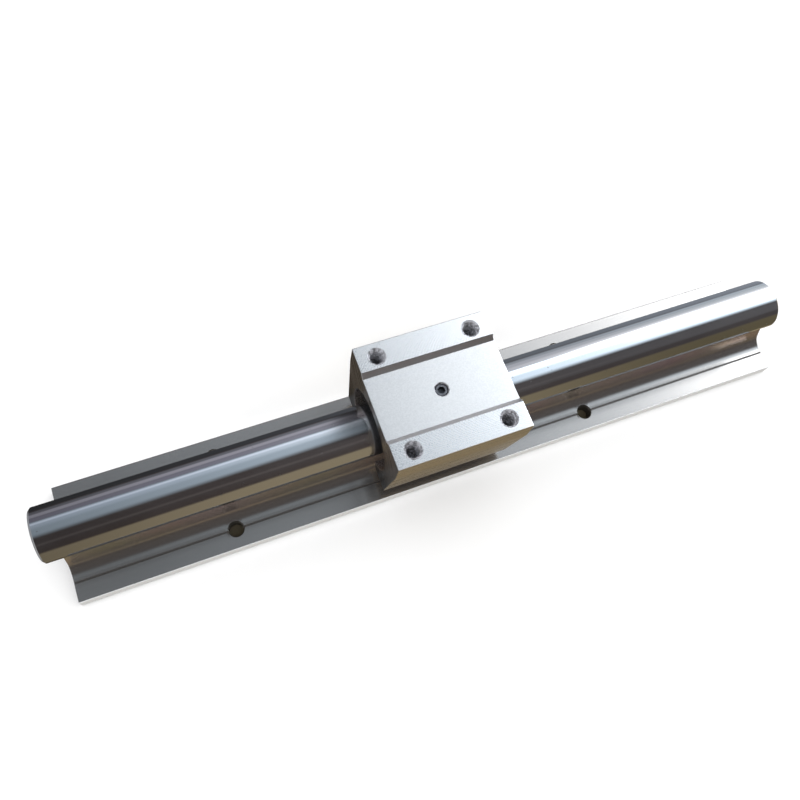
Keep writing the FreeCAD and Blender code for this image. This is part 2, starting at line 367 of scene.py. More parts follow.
@dataclass(frozen=True)
class Signal:
    """One output socket, with the arithmetic that shader values need."""

    graph: "Graph"
    socket: bpy.types.NodeSocket

    def apply(self, operation: str, *others: "Signal | float") -> "Signal":
        """A Math node on this value and others."""
        inputs = dict(enumerate((self, *others)))
        return self.graph.add("ShaderNodeMath", {"operation": operation}, inputs)

    def __add__(self, other: "Signal | float") -> "Signal":
        """Sum."""
        return self.apply("ADD", other)

    def __mul__(self, other: "Signal | float") -> "Signal":
        """Product."""
        return self.apply("MULTIPLY", other)

    def __sub__(self, other: "Signal | float") -> "Signal":
        """Difference."""
        return self.apply("SUBTRACT", other)

    def __rsub__(self, other: float) -> "Signal":
        """A number less this value."""
        return self.graph.add("ShaderNodeMath", {"operation": "SUBTRACT"}, {0: other, 1: self})

    def __truediv__(self, other: "Signal | float") -> "Signal":
        """Quotient."""
        return self.apply("DIVIDE", other)

    def __pow__(self, other: float) -> "Signal":
        """Power."""
        return self.apply("POWER", other)


@dataclass(frozen=True)
class Graph:
    """A node tree, with one method that makes any node."""

    tree: bpy.types.NodeTree

    @classmethod
    def of(cls, owner: bpy.types.ID) -> "Graph":
        """The node tree of a material or a world, emptied."""
        owner.use_nodes = True
        owner.node_tree.nodes.clear()
        return cls(owner.node_tree)

    def node(self, kind: str, settings: dict[str, Any] | None = None,
             inputs: dict[int | str, Any] | None = None) -> bpy.types.Node:
        """Makes a node.

        Args:
            kind: the node's type.
            settings: its properties, set first.
            inputs: values or signals for its sockets.

        Returns:
            The new node.
        """
        node = self.tree.nodes.new(kind)
        for name, value in (settings or {}).items():
            setattr(node, name, value)
        for name, value in (inputs or {}).items():
            if isinstance(value, Signal):
                self.tree.links.new(value.socket, node.inputs[name])
            else:
                node.inputs[name].default_value = value
        return node

    def add(self, kind: str, settings: dict[str, Any] | None = None,
            inputs: dict[int | str, Any] | None = None, output: int | str = 0) -> Signal:
        """Makes a node and returns one of its outputs."""
        return Signal(self, self.node(kind, settings, inputs).outputs[output])

    def split(self, vector: Signal) -> tuple[Signal, Signal, Signal]:
        """The three parts of a vector."""
        node = self.node("ShaderNodeSeparateXYZ", {}, {0: vector})
        return tuple(Signal(self, socket) for socket in node.outputs)

    def place(self, along: float = 1.0, across: float = 1.0) -> Signal:
        """The surface's own place in metres, scaled by one factor along the rail and one across it."""
        where = self.add("ShaderNodeTexCoord", output="Object")
        return self.add("ShaderNodeMapping", {}, {"Vector": where, "Scale": (along, across, across)})

    def millimetres(self) -> tuple[Signal, Signal, Signal]:
        """The surface's own x, y and z in millimetres."""
        return self.split(self.place(1 / MM, 1 / MM))

    def cells(self, scale: float, output: str) -> Signal:
        """Random cells: the distance to their middles, or a colour for each."""
        return self.add("ShaderNodeTexVoronoi", {}, {"Vector": self.place(), "Scale": scale}, output)

    def noise(self, where: Signal, scale: float = 1.0, detail: float = 2.0) -> Signal:
        """Smooth noise from 0 to 1."""
        return self.add("ShaderNodeTexNoise", {}, {"Vector": where, "Scale": scale, "Detail": detail})

    def spread(self, value: Signal, low: float, high: float, start: float, end: float) -> Signal:
        """Maps low..high to start..end with soft ends."""
        return self.add("ShaderNodeMapRange", {"interpolation_type": "SMOOTHSTEP"},
                        {"Value": value, 1: low, 2: high, 3: start, 4: end})

    def blend(self, share: Signal | float, first: Signal | Colour, second: Signal | Colour) -> Signal:
        """A colour between two."""
        ends = [end if isinstance(end, Signal) else (*end, 1.0) for end in (first, second)]
        inputs = {0: share, 6: ends[0], 7: ends[1]}
        return self.add("ShaderNodeMix", {"data_type": "RGBA"}, inputs, output=2)

    def bump(self, height: Signal, strength: float, distance: float) -> Signal:
        """A normal from a height, which the distance turns into metres."""
        return self.add("ShaderNodeBump", {}, {"Height": height, "Strength": strength, "Distance": distance})


@dataclass(frozen=True)
class Finish:
    """A surface finish. Each kind dresses the shader with its own colour, roughness and bump."""

    name: str
    colour: Colour
    roughness: float
    metallic: float = 1.0
    rough_span: Pair = (0.8, 1.25)

    def dress(self, graph: Graph) -> dict[str, Any]:
        """The shader's inputs that vary over the surface."""
        raise NotImplementedError

    def material(self) -> bpy.types.Material:
        """The finished material."""
        made = bpy.data.materials.new(self.name)
        graph = Graph.of(made)
        inputs = {"Base Color": (*self.colour, 1.0), "Roughness": self.roughness, "Metallic": self.metallic}
        shader = graph.add("ShaderNodeBsdfPrincipled", {}, inputs | self.dress(graph))
        graph.node("ShaderNodeOutputMaterial", {}, {"Surface": shader})
        return made

    def shade(self, amount: float) -> Colour:
        """The finish's colour times an amount."""
        return tuple(channel * amount for channel in self.colour)

    def toned(self, graph: Graph, marks: Signal, low: float, high: float, span: Pair = NOISE_SPAN) -> Signal:
        """The colour times an amount that runs from low to high as the marks run over a span."""
        return graph.blend(graph.spread(marks, *span, 0, 1), self.shade(low), self.shade(high))

    def rough(self, graph: Graph, marks: Signal, span: Pair = NOISE_SPAN) -> Signal:
        """The roughness times an amount that runs over rough_span as the marks run over a span."""
        low, high = self.rough_span
        return graph.spread(marks, *span, self.roughness * low, self.roughness * high)


@dataclass(frozen=True)
class GroundChrome(Finish):
    """Ground and chromed shaft: very fine rings round it, faint streaks along it, a few specks and smears."""

    rough_span: Pair = (0.8, 1.35)
    ring_pitch: float = 0.25
    ring_depth: float = 0.0002
    streak_pitch: float = 0.8
    streak_depth: float = 0.0016
    smear_span: Pair = (0.3, 0.75)
    speck_spacing: float = 5.0
    speck_edge: Pair = (0.03, 0.06)
    speck_tone: float = 0.25
    speck_roughness: float = 0.3

    def dress(self, graph: Graph) -> dict[str, Any]:
        """Rings and streaks are noise squeezed along and round the shaft; specks are cells' middles."""
        rings = graph.noise(graph.place(1 / (self.ring_pitch * MM), 20))
        streaks = graph.noise(graph.place(18, 1 / (self.streak_pitch * MM)), detail=3)
        smears = graph.noise(graph.place(30, 90), detail=4)
        cells = graph.cells(1 / (self.speck_spacing * MM), "Distance")
        speck = graph.spread(cells, *self.speck_edge, 1, 0)
        return {
            "Base Color": graph.blend(speck, self.colour, self.shade(self.speck_tone)),
            "Roughness": self.rough(graph, smears, self.smear_span) + speck * self.speck_roughness,
            "Normal": graph.bump(rings * self.ring_depth + streaks * self.streak_depth, 1.0, MM),
        }


@dataclass(frozen=True)
class Extruded(Finish):
    """Extruded aluminium: long die lines and slight cloudiness, and an upper tone with random tints that is a
    painted warm reflection.
    """

    rough_span: Pair = (0.93, 1.08)
    line_pitch: float = 0.5
    line_depth: float = 0.004
    contrast: float = 0.05
    tint: float = 0.0
    # upper: a painted warm reflection on the web, laid into the colour above the flange
    upper: Colour | None = None
    painted_reflection_rise: Pair = (5.5, 11.0)

    def dress(self, graph: Graph) -> dict[str, Any]:
        """Die lines are noise squeezed across the bar and stretched along it.

        The upper tone, a painted warm reflection of the room, comes in with z. Its tints are noise with its
        own value for each channel.
        """
        fine = graph.noise(graph.place(2, 1 / (self.line_pitch * MM)), detail=3)
        broad = graph.noise(graph.place(1.2, 260))
        cloud = graph.noise(graph.place(60, 60), detail=4)
        lines = fine * 0.6 + broad * 0.4
        marks = lines * 0.75 + cloud * 0.25
        colour = self.toned(graph, marks, 1 - self.contrast, 1 + self.contrast)
        # painted reflection: the warm tone the web mirrors, faded in with height
        if self.upper:
            height = graph.millimetres()[2]
            tint_noise = graph.add("ShaderNodeTexNoise", {}, {"Vector": graph.place(22, 60), "Scale": 1.0}, "Color")
            painted_reflection = graph.add("ShaderNodeMix", {"data_type": "RGBA", "blend_type": "SOFT_LIGHT"},
                               {0: self.tint, 6: (*self.upper, 1.0), 7: tint_noise}, output=2)
            colour = graph.blend(graph.spread(height, *self.painted_reflection_rise, 0, 1), colour, painted_reflection)
        return {
            "Base Color": colour,
            "Roughness": self.rough(graph, lines),
            "Normal": graph.bump(lines, 0.6, self.line_depth * MM),
        }


@dataclass(frozen=True)
class Milled(Finish):
    """A face-milled land: arcs of the cutter at the pitch of its feed."""

    rough_span: Pair = (0.8, 1.3)
    tone_span: Pair = (0.9, 1.04)
    feed: float = 1.2
    cutter_radius: float = 25.0
    depth: float = 0.004
    grains_per_metre: float = 2600.0

    def dress(self, graph: Graph) -> dict[str, Any]:
        """The wave's phase is x plus the cutter's arc, over the feed.

        The arc is the root of the cutter's radius squared less y squared.
        """
        x, y, _ = graph.millimetres()
        sweep = (self.cutter_radius ** 2 - y * y).apply("MAXIMUM", 0.0) ** 0.5
        phase = (x + sweep) / self.feed
        marks = graph.noise(graph.add("ShaderNodeCombineXYZ", {}, {0: phase, 1: y * 0.02}), detail=3)
        wave = (phase * FULL_TURN).apply("SINE") * 0.5 + 0.5
        cuts = marks * 0.6 + wave * 0.4
        grain = graph.noise(graph.place(self.grains_per_metre, self.grains_per_metre))
        return {
            "Base Color": self.toned(graph, cuts, *self.tone_span),
            "Roughness": self.rough(graph, grain),
            "Normal": graph.bump(cuts, 0.7, self.depth * MM),
        }


@dataclass(frozen=True)
class Grained(Finish):
    """A fine grain without direction, such as blasted metal or moulded plastic."""

    rough_span: Pair = (0.85, 1.15)
    grain: float = 0.35
    depth: float = 0.01
    contrast: float = 0.12
    tone_from: Pair = (0.2, 0.8)

    def dress(self, graph: Graph) -> dict[str, Any]:
        """Cells of random tone on top of fine noise."""
        size = 1 / (self.grain * MM)
        tone = graph.add("ShaderNodeSeparateColor", {}, {0: graph.cells(size * 0.8, "Color")})
        fine = graph.noise(graph.place(), size, 3)
        cloud = graph.noise(graph.place(), 90, 3)
        mixed = tone * 0.55 + fine * 0.3 + cloud * 0.15
        return {
            "Base Color": self.toned(graph, mixed, 1 - self.contrast, 1 + self.contrast, self.tone_from),
            "Roughness": self.rough(graph, fine),
            "Normal": graph.bump(fine * 0.6 + tone * 0.4, 0.5, self.depth * MM),
        }


@dataclass(frozen=True)
class Sawn(Finish):
    """A sawn end: arcs of a large blade, with coarse and fine scratches, and optional painted shade towards
    its foot.
    """

    blade_centre: Pair = (120.0, -90.0)
    pitch: float = 0.6
    depth: float = 0.008
    scratch_tone: float = 0.75
    painted_foot_shade: float = 1.0
    painted_foot_shade_rise: Pair = (14.0, 38.0)

    def dress(self, graph: Graph) -> dict[str, Any]:
        """Scratches are noise over the distance from the blade's centre, which is given by its y and z.

        Painted shade: the colour fades with z from the darker tone at the foot to its own.
        """
        _, y, z = graph.millimetres()
        across, up = y - self.blade_centre[0], z - self.blade_centre[1]
        distance = (across * across + up * up) ** 0.5 / self.pitch
        cuts = graph.noise(graph.add("ShaderNodeCombineXYZ", {}, {0: distance, 1: z * 0.03}), detail=4)
        tone = graph.spread(cuts, *NOISE_SPAN, self.scratch_tone, 1)
        # painted shade, darker towards the foot
        tone *= graph.spread(z, *self.painted_foot_shade_rise, self.painted_foot_shade, 1)
        return {
            "Base Color": graph.blend(tone, (0, 0, 0), self.colour),
            "Roughness": self.rough(graph, cuts),
            "Normal": graph.bump(cuts, 0.6, self.depth * MM),
        }


class Finishes(Enum):
    """The finishes of this part."""

    SHAFT = GroundChrome("ground_chrome", (0.72, 0.73, 0.75), 0.1)
    SHAFT_END = Sawn("turned_shaft_end", (0.64, 0.64, 0.65), 0.3)
    # The upper tone is a painted warm reflection on the web, not the metal's colour.
    RAIL = Extruded("extruded_rail", (0.345, 0.325, 0.31), 0.22, 0.9, line_depth=0.001, tint=0.5,
                    upper=(0.66, 0.54, 0.46))
    RAIL_SIDE = Extruded("extruded_side", (0.88, 0.88, 0.88), 0.45, 0.4, line_depth=0.002)
    # The drilled walls are dark as painted shade inside the holes.
    DRILLED = Grained("drilled_wall_painted_shade", (0.17, 0.16, 0.14), 0.6, grain=0.25)
    RAIL_END = Sawn("sawn_rail_end", (0.66, 0.66, 0.68), 0.38)
    LAND = Milled("milled_land", (0.635, 0.63, 0.63), 0.3)
    RECESS = Grained("satin_recess", (0.58, 0.572, 0.568), 0.4, contrast=0.05)
    STEP = Extruded("extruded_step", (0.88, 0.86, 0.86), 0.3, contrast=0.04, line_depth=0.002)
    # The flank's golden tone is a painted warm reflection; the block's lands are neutral.
    FLANK = Extruded("extruded_flank_painted_reflection", (0.64, 0.54, 0.4), 0.28, 0.9, contrast=0.04, line_depth=0.001)
    # The block's end is darkened towards its foot: painted shade.
    BLOCK_END = Sawn("sawn_block_end_painted_shade", (0.5, 0.44, 0.39), 0.3, painted_foot_shade=0.3)
    TAPPED = Grained("tapped_wall", (0.6, 0.6, 0.63), 0.5, 0.75, grain=0.6, contrast=0.5)
    SLEEVE = Grained("ground_sleeve", (0.55, 0.55, 0.57), 0.28, grain=0.3, depth=0.004)
    CAGE = Grained("moulded_cage", (0.03, 0.03, 0.033), 0.5, 0.0, grain=0.4)
    SEAL = Grained("moulded_rubber", (0.02, 0.02, 0.02), 0.62, 0.0, grain=0.3)
    SET_SCREW = Grained("worn_set_screw", (0.12, 0.12, 0.13), 0.36, grain=0.4, contrast=0.3)
    OXIDE = Grained("black_oxide", (0.09, 0.09, 0.1), 0.38, 0.9, grain=0.3, contrast=0.3)


# The rail's body

class RailFace(IntEnum):
    """The kinds of surface on the support rail, in the order of its materials."""

    EXTRUDED = 0
    END = 1
    HOLE = 2
    EDGE = 3


@dataclass
class SupportRail:
    """The extruded base: two flanges, a tapered web with filleted feet and the cradle of the shaft."""

    flange_thickness: float = 5.0
    edge_round: float = 0.4
    web_foot_width: float = 19.0
    web_head_width: float = 9.0
    web_foot_fillet: float = 6.0
    groove_width: float = 0.8
    groove_depth: float = 0.4
    cradle_clearance: float = 0.02
    row_spacing: float = 30.0
    mount_hole_radius: float = 2.75
    mount_hole_chamfer: float = 0.4
    counterbore_radius: float = 5.5
    counterbore_depth: float = 7.0
    shank_radius: float = 3.3
    mount_window: float = 4.5
    mount_reach: float = 3.3
    counterbore_window: float = 7.0
    shank_window: float = 3.9
    saw_edge: float = 0.15
    cradle_pieces: int = 12
    hole_sides: int = 64
    box: np.ndarray = box_of("support_base")
    shaft_box: np.ndarray = box_of("shaft")

    def outline(self) -> np.ndarray:
        """Corner rows of the section, from the +Y edge's foot over the top to the -Y side, then the sole."""
        half_width, top = self.box[1, 1], self.flange_thickness
        row, groove = self.row_spacing / 2, self.groove_width / 2
        centre = (0, self.shaft_box[:, 2].mean())
        cradle = np.ptp(self.shaft_box[:, 2]) / 2 + self.cradle_clearance
        lean = math.asin(self.web_head_width / 2 / cradle)
        window, counterbore = self.mount_window, self.counterbore_window
        half = np.vstack([
            [(half_width, 0, self.edge_round, RailFace.EDGE),
             (half_width, top, self.edge_round, RailFace.EXTRUDED),
             (row + window, top, 0, RailFace.EXTRUDED),
             (row + groove, top, 0, RailFace.EXTRUDED),
             (row, top - self.groove_depth, 0, RailFace.EXTRUDED),
             (row - groove, top, 0, RailFace.EXTRUDED),
             (self.web_foot_width / 2, top, self.web_foot_fillet, RailFace.EXTRUDED)],
            arc(centre, cradle, lean, 0, self.cradle_pieces, RailFace.EXTRUDED),
        ])
        sole = [(y, 0, 0, RailFace.EXTRUDED) for y in (-row - window, -row + window, -counterbore,
                                                  counterbore, row - window, row + window)]
        return np.vstack([mirrored(half), sole])

    def mount_hole(self, x: float, y: float) -> Hole:
        """A hole through a flange, with a chamfered upper rim. Its mouth runs a little way up the fillet."""
        top, side, reach = self.flange_thickness, self.mount_window, self.mount_reach
        radius, chamfer = self.mount_hole_radius, self.mount_hole_chamfer
        rings = np.array([(radius + chamfer, top), (radius, top - chamfer), (radius, 0)])
        return Hole(x, y, round_angles(self.hole_sides), rings[:, :1], rings[:, 1:], RailFace.HOLE,
                    Window(y - side, y + side, top - 1, top + 1, reach),
                    Window(y - side, y + side, 0, 0, reach))

    def screw_hole(self, x: float) -> Hole:
        """The counterbore of a shaft screw, its seat and the shank's hole up into the cradle."""
        wide, narrow, seat = self.counterbore_radius, self.shank_radius, self.counterbore_depth
        rings = np.array([(wide, 0), (wide, seat), (narrow, seat), (narrow, 2 * seat)])
        return Hole(x, 0, round_angles(self.hole_sides), rings[:, :1], rings[:, 1:], RailFace.HOLE,
                    Window(-self.counterbore_window, self.counterbore_window, 0, 0, self.counterbore_window),
                    Window(-self.shank_window, self.shank_window, 2 * seat, 3 * seat, self.shank_window))

    def build(self) -> bpy.types.Object:
        """The base with its four mounting holes and two screw holes."""
        columns = screw_columns()
        holes = [self.mount_hole(x, side * self.row_spacing / 2) for x in columns for side in (-1, 1)]
        holes += [self.screw_hole(x) for x in columns]
        bar = Bar(self.outline(), self.box[0, 0], self.box[1, 0], self.saw_edge, RailFace.END)
        chosen = {RailFace.EXTRUDED: Finishes.RAIL, RailFace.END: Finishes.RAIL_END,
                  RailFace.HOLE: Finishes.DRILLED, RailFace.EDGE: Finishes.RAIL_SIDE}
        finishes = [chosen[face].value.material() for face in RailFace]
        return bar.build(holes).to_piece("support_rail", finishes, "rail", "base_aluminium", ["support_base"])


class ShaftFace(IntEnum):
    """The kinds of surface on the shaft, in the order of its materials."""

    GROUND = 0
    END = 1


@dataclass
class Shaft:
    """The ground round shaft, with chamfered ends and tapped holes in its underside."""

    end_chamfer: float = 0.8
    screw_hole_radius: float = 3.05
    screw_hole_depth: float = 12.0
    drill_point: float = 1.8
    screw_window: float = 4.0
    sides: int = 288
    hole_sides: int = 48
    box: np.ndarray = box_of("shaft")

    def screw_hole(self, x: float) -> Hole:
        """A blind hole up into the shaft, closed by the drill's point."""
        low, radius, reach = self.box[0, 2], self.screw_hole_radius, self.screw_window
        depth = low + self.screw_hole_depth
        rings = np.array([(radius, low), (radius, depth), (0, depth + self.drill_point)])
        return Hole(x, 0, round_angles(self.hole_sides), rings[:, :1], rings[:, 1:], ShaftFace.END,
                    Window(-reach, reach, low, low + radius, reach))

    def build(self) -> bpy.types.Object:
        """The shaft as a circle carried along the rail."""
        radius = np.ptp(self.box[:, 2]) / 2
        centre = (0, self.box[:, 2].mean())
        circle = arc(centre, radius, -math.pi, math.pi, self.sides, ShaftFace.GROUND)
        bar = Bar(circle, self.box[0, 0], self.box[1, 0], self.end_chamfer, ShaftFace.END, end_chamfer=True)
        holes = [self.screw_hole(x) for x in screw_columns()]
        finishes = [Finishes.SHAFT.value.material(), Finishes.SHAFT_END.value.material()]
        return bar.build(holes).to_piece("ground_shaft", finishes, "rail", "shaft_steel", ["shaft"])


@dataclass
class ShaftScrew:
    """A socket head screw, head down: knurled head, hexagon socket and thread."""

    node: str
    head_height: float = 6.0
    socket_width: float = 5.0
    socket_depth: float = 3.0
    edge: float = 0.4
    knurls: int = 48
    knurl_depth: float = 0.16
    pitch: float = 1.0
    thread_depth: float = 0.6
    shank_radius: float = 3.0
    thread_sides: int = 48

    def head_rings(self, angle: np.ndarray, low: float, radius: float) -> tuple[np.ndarray, np.ndarray]:
        """Rings of the head, from the middle of the socket's floor out and up to the seat.

        Above a plain collar the radius is less by the knurl's depth times a triangle wave of the angle.
        """
        socket = hexagon_radius(angle, self.socket_width)
        groove = np.abs(2 * ((angle * self.knurls / FULL_TURN) % 1) - 1) * self.knurl_depth
        floor, seat, edge = low + self.socket_depth, low + self.head_height, self.edge
        collar, rim = low + 1.6 * edge, radius - 0.6 * edge
        rings = [(0 * angle, floor), (socket, floor), (socket, low), (radius - edge + 0 * angle, low),
                 (radius + 0 * angle, low + edge), (radius + 0 * angle, collar),
                 (radius - groove, low + 2 * edge), (radius - groove, seat - edge), (rim + 0 * angle, seat)]
        return np.vstack([ring for ring, _ in rings]), np.array([[height] for _, height in rings])

    def shank_rings(self, angle: np.ndarray, low: float, high: float) -> tuple[np.ndarray, np.ndarray]:
        """Rings of the threaded shank: its radius is the outer one less the thread's depth times the wave."""
        rows = round((high - low) * THREAD_ROWS / self.pitch)
        height = np.linspace(low, high - self.thread_depth, rows)[:, None]
        radius = self.shank_radius - self.thread_depth * thread_wave(angle, height, self.pitch)
        tip = np.array([self.shank_radius - self.thread_depth, 0])[:, None] + 0 * angle
        return np.vstack([radius, tip]), np.vstack([height, [[high], [high]]])

    def build(self) -> bpy.types.Object:
        """The screw as turned surfaces, its head and shank joined at the seat."""
        box = node_box(self.node)
        x, low, high, radius = box[:, 0].mean(), box[0, 2], box[1, 2], np.ptp(box[:, 0]) / 2
        skin = Skin()
        around, thread = round_angles(4 * self.knurls), round_angles(self.thread_sides)
        head = self.head_rings(around, low, radius)
        shank = self.shank_rings(thread, low + self.head_height, high)
        skin.add_turned(x, 0, around, *head, 0)
        skin.add_turned(x, 0, thread, *shank, 0)
        rings = [np.stack([x + r * np.cos(a), r * np.sin(a), 0 * a + low + self.head_height], axis=1)
                 for r, a in ((head[0][-1], around[0]), (shank[0][0], thread[0]))]
        skin.add_stitch(rings[0][:-1], rings[1][:-1], x, 0, 0)
        name = self.node.replace("shaft_screw", "socket_head_screw")
        return skin.to_piece(name, [Finishes.OXIDE.value.material()], "rail", "screw_steel", [self.node])


# The carriage's body

class BlockFace(IntEnum):
    """The kinds of surface on the bearing block, in the order of its materials."""

    FLANK = 0
    LAND = 1
    RECESS = 2
    STEP = 3
    BORE = 4
    END = 5
    TAPPED = 6


@dataclass
class BearingBlock:
    """The block: sloping flanks, two milled lands, the recess, the open bore and its threaded holes."""

    foot_width: float = 41.0
    side_height: float = 10.0
    corner_round: float = 0.3
    land_width: float = 10.0
    recess_depth: float = 2.0
    recess_step_run: float = 1.9
    bore_clearance: float = 0.02
    web_head_width: float = 9.0
    web_clearance: float = 1.0
    lip_setback: float = 0.6
    tap_spacing: float = 37.0
    tap_minor_radius: float = 2.5
    tap_major_radius: float = 3.0
    tap_pitch: float = 1.0
    tap_depth: float = 12.0
    tap_mouth_radius: float = 3.5
    tap_unthreaded: float = 2.0
    tap_runout: float = 0.2
    drill_point_deg: float = 118.0
    tap_window: float = 4.5
    clamp_clearance: float = 0.05
    clamp_mouth_chamfer: float = 0.3
    clamp_window: float = 3.5
    saw_edge: float = 0.2
    bore_pieces: int = 108
    hole_sides: int = 60
    box: np.ndarray = box_of("bearing_block")
    shaft_box: np.ndarray = box_of("shaft")
    sleeve_box: np.ndarray = box_of("bushing_sleeve")
    clamp_box: np.ndarray = box_of("clamp_screw")

    def outline(self) -> np.ndarray:
        """Corner rows of the section, from the +Y lip over the top to the -Y lip, then round the bore."""
        foot, top, half_width = self.box[0, 2], self.box[1, 2], self.box[1, 1]
        axis = self.shaft_box[:, 2].mean()
        bore = self.sleeve_box[1, 2] - axis + self.bore_clearance
        shaft_radius = np.ptp(self.shaft_box[:, 2]) / 2
        opening = math.asin((self.web_head_width / 2 + self.web_clearance) / shaft_radius)
        opening += self.lip_setback / bore
        land = half_width - self.land_width
        half = np.array([
            ((axis - foot) * math.tan(opening), foot, 0, BlockFace.FLANK),
            (self.foot_width / 2, foot, self.corner_round, BlockFace.FLANK),
            (half_width, top - self.side_height, self.corner_round, BlockFace.FLANK),
            (half_width, top, self.corner_round, BlockFace.LAND),
            (land, top, 0, BlockFace.STEP),
            (land - self.recess_step_run, top - self.recess_depth, 0, BlockFace.RECESS),
        ])
        sides = mirrored(half)
        sides[-1, 3] = BlockFace.FLANK
        round_bore = arc((0, axis), bore, -opening, opening - FULL_TURN, self.bore_pieces, BlockFace.BORE)
        return np.vstack([sides, round_bore])

    def tapped_hole(self, x: float, y: float) -> Hole:
        """A blind threaded hole with a countersunk mouth.

        At each height the radius is the larger of the countersink's and the thread's. The first falls as the
        depth grows, and the second is the minor radius plus the thread's depth times the wave.
        """
        angle, top = round_angles(self.hole_sides), self.box[1, 2]
        deep = self.tap_depth - self.tap_unthreaded
        height = np.linspace(top, top - deep, round(deep * THREAD_ROWS / self.tap_pitch))[:, None]
        crest = self.tap_major_radius - self.tap_minor_radius
        threaded = self.tap_minor_radius + crest * thread_wave(angle, height, self.tap_pitch)
        radius = np.maximum(threaded, self.tap_mouth_radius - (top - height))
        radius[0] = self.tap_mouth_radius
        floor = top - self.tap_depth
        point = self.tap_minor_radius / math.tan(math.radians(self.drill_point_deg / 2))
        ends = np.array([(self.tap_minor_radius, top - deep - self.tap_runout),
                         (self.tap_minor_radius, floor), (0, floor - point)])
        radius = np.vstack([radius, ends[:, :1] + 0 * angle])
        height = np.vstack([height, ends[:, 1:]])
        outer, inner = self.box[1, 1], self.box[1, 1] - self.land_width
        low, high = (inner, outer) if y > 0 else (-outer, -inner)
        return Hole(x, y, angle, radius, height, BlockFace.TAPPED,
                    Window(low, high, top, top, self.tap_window))

    def clamp_hole(self, x: float) -> Hole:
        """The set screw's hole, from the recess down into the bore."""
        radius = np.ptp(self.clamp_box[:, 0]) / 2 + self.clamp_clearance
        floor, bore_top = self.box[1, 2] - self.recess_depth, self.sleeve_box[1, 2]
        chamfer, reach = self.clamp_mouth_chamfer, self.clamp_window
        rings = np.array([(radius + chamfer, floor), (radius, floor - chamfer), (radius, bore_top)])
        half_width = self.box[1, 1]
        return Hole(x, 0, round_angles(self.hole_sides), rings[:, :1], rings[:, 1:], BlockFace.TAPPED,
                    Window(-half_width, half_width, floor, floor, self.tap_window),
                    Window(-reach, reach, bore_top - 1, bore_top + 1, reach))

    def build(self) -> bpy.types.Object:
        """The block with its four tapped holes and the set screw's hole."""
        middle, half = self.box[:, 0].mean(), self.tap_spacing / 2
        holes = [self.tapped_hole(middle + i * half, j * half) for i in (-1, 1) for j in (-1, 1)]
        holes.append(self.clamp_hole(middle))
        bar = Bar(self.outline(), self.box[0, 0], self.box[1, 0], self.saw_edge, BlockFace.END)
        chosen = {BlockFace.FLANK: Finishes.FLANK, BlockFace.LAND: Finishes.LAND,
                  BlockFace.RECESS: Finishes.RECESS, BlockFace.STEP: Finishes.STEP,
                  BlockFace.BORE: Finishes.SLEEVE, BlockFace.END: Finishes.BLOCK_END,
                  BlockFace.TAPPED: Finishes.TAPPED}
        finishes = [chosen[face].value.material() for face in BlockFace]
        skin = bar.build(holes)
        return skin.to_piece("open_block", finishes, "carriage", "block_aluminium", ["bearing_block"])


@dataclass
class SetScrew:
    """The set screw in the block's recess: chamfered point, thread and hexagon socket."""

    point_chamfer: float = 0.8
    rim_chamfer: float = 0.35
    socket_width: float = 2.5
    socket_depth: float = 2.4
    socket_rim_growth: float = 1.04
    socket_rim_depth: float = 0.06
    socket_point: float = 0.3
    pitch: float = 0.8
    thread_depth: float = 0.4
    thread_rows: int = 40
    sides: int = 72

    def build(self) -> bpy.types.Object:
        """The screw as one turned surface, from the middle of its point up and round into the socket."""
        box = node_box("clamp_screw")
        x, foot, head, radius = box[:, 0].mean(), box[0, 2], box[1, 2], np.ptp(box[:, 0]) / 2
        angle = round_angles(self.sides)
        height = np.linspace(foot + self.point_chamfer, head - self.rim_chamfer, self.thread_rows)[:, None]
        thread = radius - self.thread_depth * thread_wave(angle, height, self.pitch)
        socket, floor = hexagon_radius(angle, self.socket_width), head - self.socket_depth
        blunt = 0 * angle + radius - self.point_chamfer
        rim = 0 * angle + radius - self.rim_chamfer
        mouth, mouth_end = socket * self.socket_rim_growth, head - self.socket_rim_depth
        radii = np.vstack([0 * angle, blunt, thread, rim, mouth, socket, socket, 0 * angle])
        tops = [[head], [head], [mouth_end], [floor], [floor - self.socket_point]]
        heights = np.vstack([[[foot], [foot]], height, tops])
        skin = Skin()
        skin.add_turned(x, 0, angle, radii, heights, 0)
        return skin.to_piece("set_screw", [Finishes.SET_SCREW.value.material()], "carriage", "screw_steel",
                             ["clamp_screw"])


@dataclass
class Bushing:
    """The open ball bushing, whose solids are shown as the CAD has them."""

    nodes: dict[str, Finishes] = field(default_factory=lambda: {
        "bushing_sleeve": Finishes.SLEEVE,
        "ball_cage": Finishes.CAGE,
        "end_seal_1": Finishes.SEAL,
        "end_seal_2": Finishes.SEAL,
    })

    def dress(self) -> None:
        """Gives each solid its finish."""
        for name, finish in self.nodes.items():
            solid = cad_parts[name]
            material = finish.value.material()
            for slot in solid.material_slots:
                slot.material = material
            LOG.info("%s: %s", name, finish.value.name)


# Studio

@dataclass(frozen=True)
class Viewpoint:
    """A pinhole camera: place and clip in metres, turn in degrees, lens in millimetres, shift in widths."""

    place: Colour = (-0.0907965, -0.0853584, 0.3241088)
    turn_deg: Colour = (21.9114, -7.0038, -20.7884)
    lens: float = 37.6046
    sensor: float = 36.0
    shift: Pair = (-0.00359, -0.02325)
    clip: Pair = (0.01, 50.0)

    def build(self) -> None:
        """Makes the camera and gives it to the scene."""
        data = bpy.data.cameras.new("camera")
        data.lens, data.sensor_width = self.lens, self.sensor
        data.shift_x, data.shift_y = self.shift
        data.clip_start, data.clip_end = self.clip
        camera = put("camera", data)
        camera.location = self.place
        camera.rotation_euler = [math.radians(turn) for turn in self.turn_deg]
        bpy.context.scene.camera = camera


